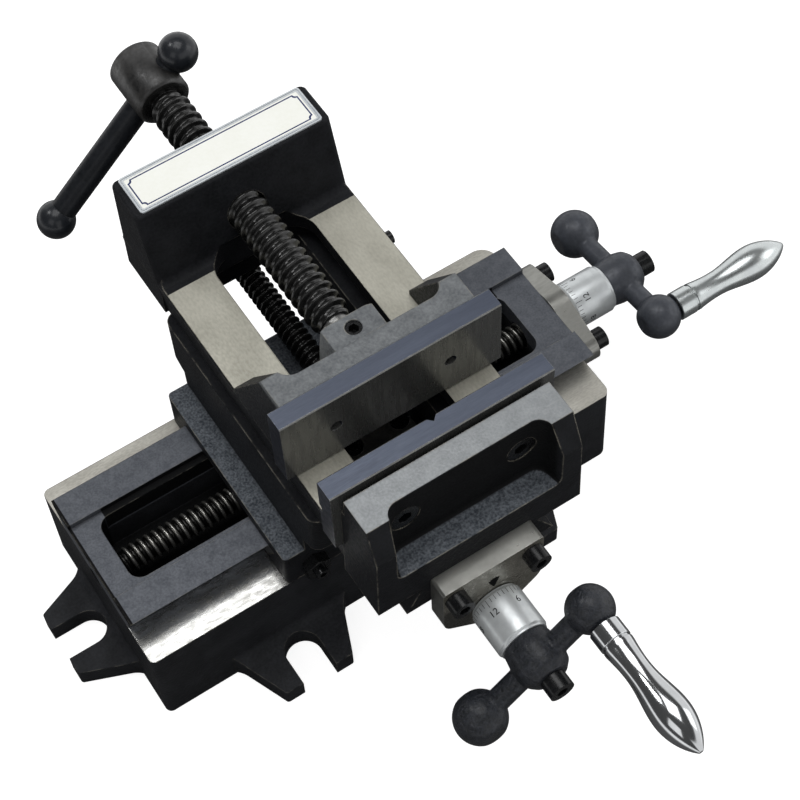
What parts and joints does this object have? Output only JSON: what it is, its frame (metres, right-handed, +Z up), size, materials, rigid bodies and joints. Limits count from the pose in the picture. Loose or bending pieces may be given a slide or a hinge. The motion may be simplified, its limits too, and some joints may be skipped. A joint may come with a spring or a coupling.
{
  "type": "cross slide vise",
  "caption": "Drill press vise on two crossed dovetail slides, each with a crank and dial, closed by a screw with a sliding bar.",
  "frame": {"origin": "centre of the base casting's bottom face, where it rests on the drill press table", "axes": "+X to the lower slide's crank, +Y to the nut block and tommy bar, +Z up"},
  "size_m": [0.3678, 0.3776, 0.1664],
  "materials": {
    "base_iron": "near black charcoal paint over cast iron, machined slide faces",
    "saddle_iron": "near black charcoal paint over cast iron",
    "body_iron": "mid grey painted cast iron with machined rail tops",
    "jaw_iron": "mid grey painted cast iron, lightly rough",
    "jaw_plate_steel": "ground steel with faint vertical smudges",
    "bracket_steel": "pale ground steel",
    "dial_steel": "satin silver collar with engraved marks",
    "crank_iron": "dark blue grey cast surface",
    "handle_steel": "polished chrome",
    "pin_steel": "plain steel",
    "black_steel": "black oxide fasteners",
    "screw_steel": "turned steel lead screws",
    "clamp_steel": "glossy dark steel screw with bright crests",
    "bar_steel": "dark grey steel",
    "nut_iron": "plain grey iron",
    "gib_steel": "ground steel strip",
    "name_plate_metal": "cream enamel on aluminium with a silver rim"
  },
  "bodies": {
    "base": {"base_casting": "base_iron", "x_bracket_plate": "bracket_steel", "x_bracket_screws": "black_steel"},
    "x_screw": {"x_lead_screw": "screw_steel", "x_dial": "dial_steel", "x_crank": "crank_iron", "x_crank_bolt": "black_steel", "x_handle_pin": "pin_steel"},
    "x_handle_grip": {"x_handle": "handle_steel"},
    "saddle": {"saddle_casting": "saddle_iron", "x_gib": "gib_steel", "x_gib_screws": "black_steel", "x_gib_lock_nuts": "black_steel", "y_gib": "gib_steel", "y_gib_screws": "black_steel", "y_gib_lock_nuts": "black_steel", "x_feed_nut": "nut_iron", "x_feed_nut_screws": "black_steel", "y_feed_nut": "nut_iron", "y_feed_nut_screws": "black_steel"},
    "vise_body": {"vise_body_casting": "body_iron", "fixed_jaw_plate": "jaw_plate_steel", "fixed_jaw_screws": "black_steel", "name_plate": "name_plate_metal", "y_bracket_plate": "bracket_steel", "y_bracket_screws": "black_steel"},
    "y_screw": {"y_lead_screw": "screw_steel", "y_dial": "dial_steel", "y_crank": "crank_iron", "y_crank_bolt": "black_steel", "y_handle_pin": "pin_steel"},
    "y_handle_grip": {"y_handle": "handle_steel"},
    "moving_jaw": {"moving_jaw_casting": "jaw_iron", "moving_jaw_plate": "jaw_plate_steel", "moving_jaw_screws": "black_steel", "jaw_keeper_plate": "gib_steel", "jaw_keeper_screws": "black_steel", "clamp_retainer_screw": "black_steel"},
    "clamp": {"clamp_screw": "clamp_steel"},
    "bar": {"tommy_bar": "bar_steel", "tommy_bar_balls": "bar_steel"}
  },
  "joints": [
    {"name": "x_slide", "type": "slide", "parent": "base", "child": "saddle", "axis": [1, 0, 0], "range_m": [-0.0575, 0.0425]},
    {"name": "x_screw_turn", "type": "hinge", "parent": "base", "child": "x_screw", "pos_m": [0.14, 0, 0.047], "axis": [1, 0, 0], "range_deg": [-4255, 5755]},
    {"name": "x_handle_spin", "type": "hinge", "parent": "x_screw", "child": "x_handle_grip", "pos_m": [0.19, -0.02963, 0.05169], "axis": [1, 0, 0], "continuous": true},
    {"name": "y_slide", "type": "slide", "parent": "saddle", "child": "vise_body", "axis": [0, 1, 0], "range_m": [-0.05, 0.046]},
    {"name": "y_screw_turn", "type": "hinge", "parent": "vise_body", "child": "y_screw", "pos_m": [0.0075, -0.13, 0.082], "axis": [0, 1, 0], "range_deg": [-5005, 4605]},
    {"name": "y_handle_spin", "type": "hinge", "parent": "y_screw", "child": "y_handle_grip", "pos_m": [0.03114, -0.18, 0.10047], "axis": [0, 1, 0], "continuous": true},
    {"name": "jaw_slide", "type": "slide", "parent": "vise_body", "child": "moving_jaw", "axis": [0, 1, 0], "range_m": [-0.0258, 0.056]},
    {"name": "clamp_screw_turn", "type": "hinge", "parent": "moving_jaw", "child": "clamp", "pos_m": [0.0075, 0, 0.1405], "axis": [0, 1, 0], "range_deg": [-1862, 4037]},
    {"name": "tommy_bar_slide", "type": "slide", "parent": "clamp", "child": "bar", "axis": [0.7431, 0, 0.6691], "range_m": [0, 0.058]}
  ],
  "couplings": [
    {"joint": "x_screw_turn", "follows": "x_slide", "rad_per_m": -1745.3},
    {"joint": "y_screw_turn", "follows": "y_slide", "rad_per_m": 1745.3},
    {"joint": "clamp_screw_turn", "follows": "jaw_slide", "rad_per_m": 1256.6}
  ]
}
